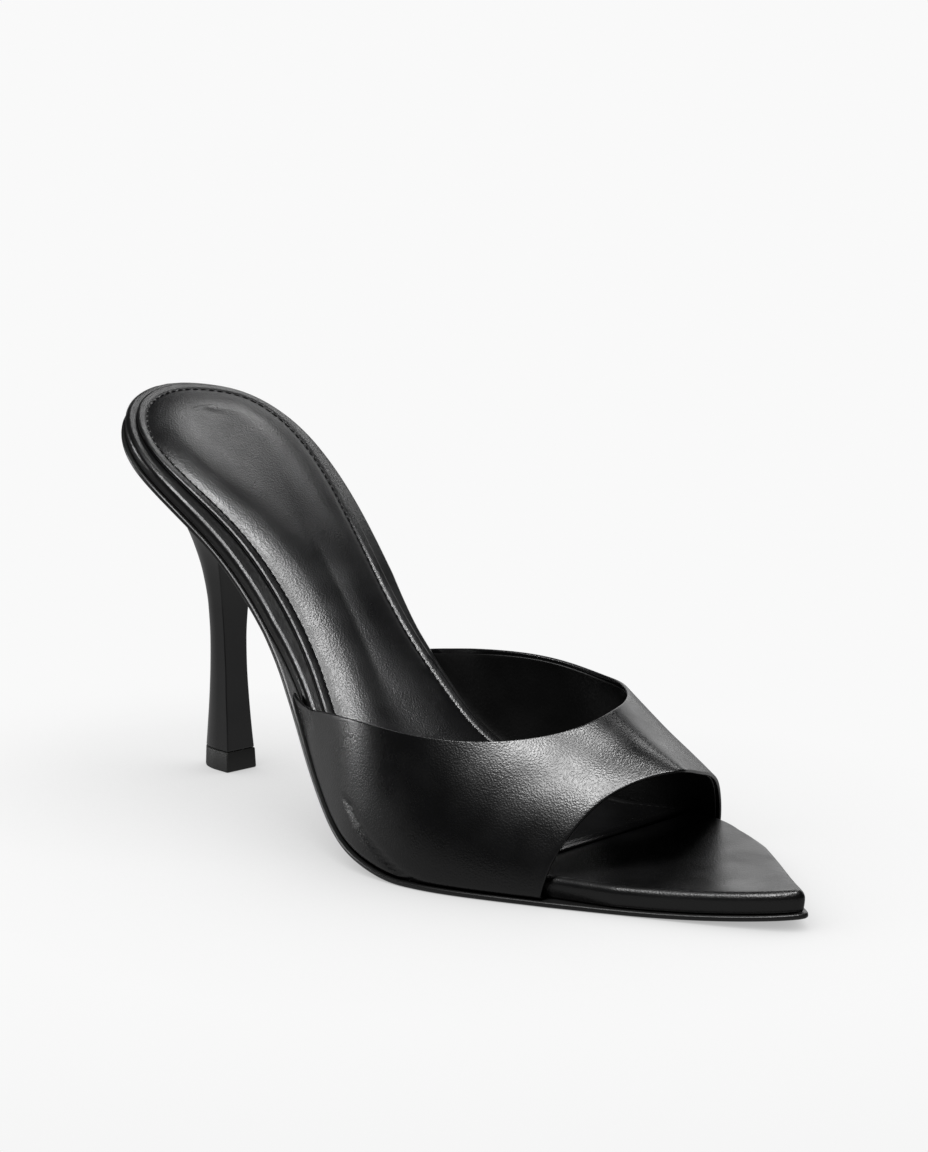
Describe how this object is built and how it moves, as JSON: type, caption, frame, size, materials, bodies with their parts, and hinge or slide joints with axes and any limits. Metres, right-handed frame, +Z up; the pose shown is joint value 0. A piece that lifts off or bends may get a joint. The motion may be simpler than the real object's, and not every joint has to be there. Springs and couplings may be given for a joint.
{
  "type": "high heel mule",
  "caption": "Backless high heel mule with a slim heel, a padded sock, one leather band over the forefoot and a pointed toe left open in front.",
  "frame": {"origin": "middle of the top piece's floor face, under the heel", "axes": "+X from the heel to the toe, +Y to the inner side of the foot, +Z up from the floor"},
  "size_m": [0.228, 0.0879, 0.0981],
  "materials": {
    "upper_leather": "smooth black leather with a fine grain, semi gloss",
    "rim_leather": "black leather wrapped round the board, semi gloss",
    "sock_leather": "padded black lining leather with a fine grain",
    "outsole_black": "thin black sole, satin",
    "heel_gloss": "black lacquered heel, satin gloss",
    "top_piece_rubber": "matt black top piece"
  },
  "bodies": {
    "root": {"upper": "upper_leather", "insole": "rim_leather", "sock": "sock_leather", "outsole": "outsole_black", "heel": "heel_gloss", "top_piece": "top_piece_rubber"}
  },
  "joints": []
}
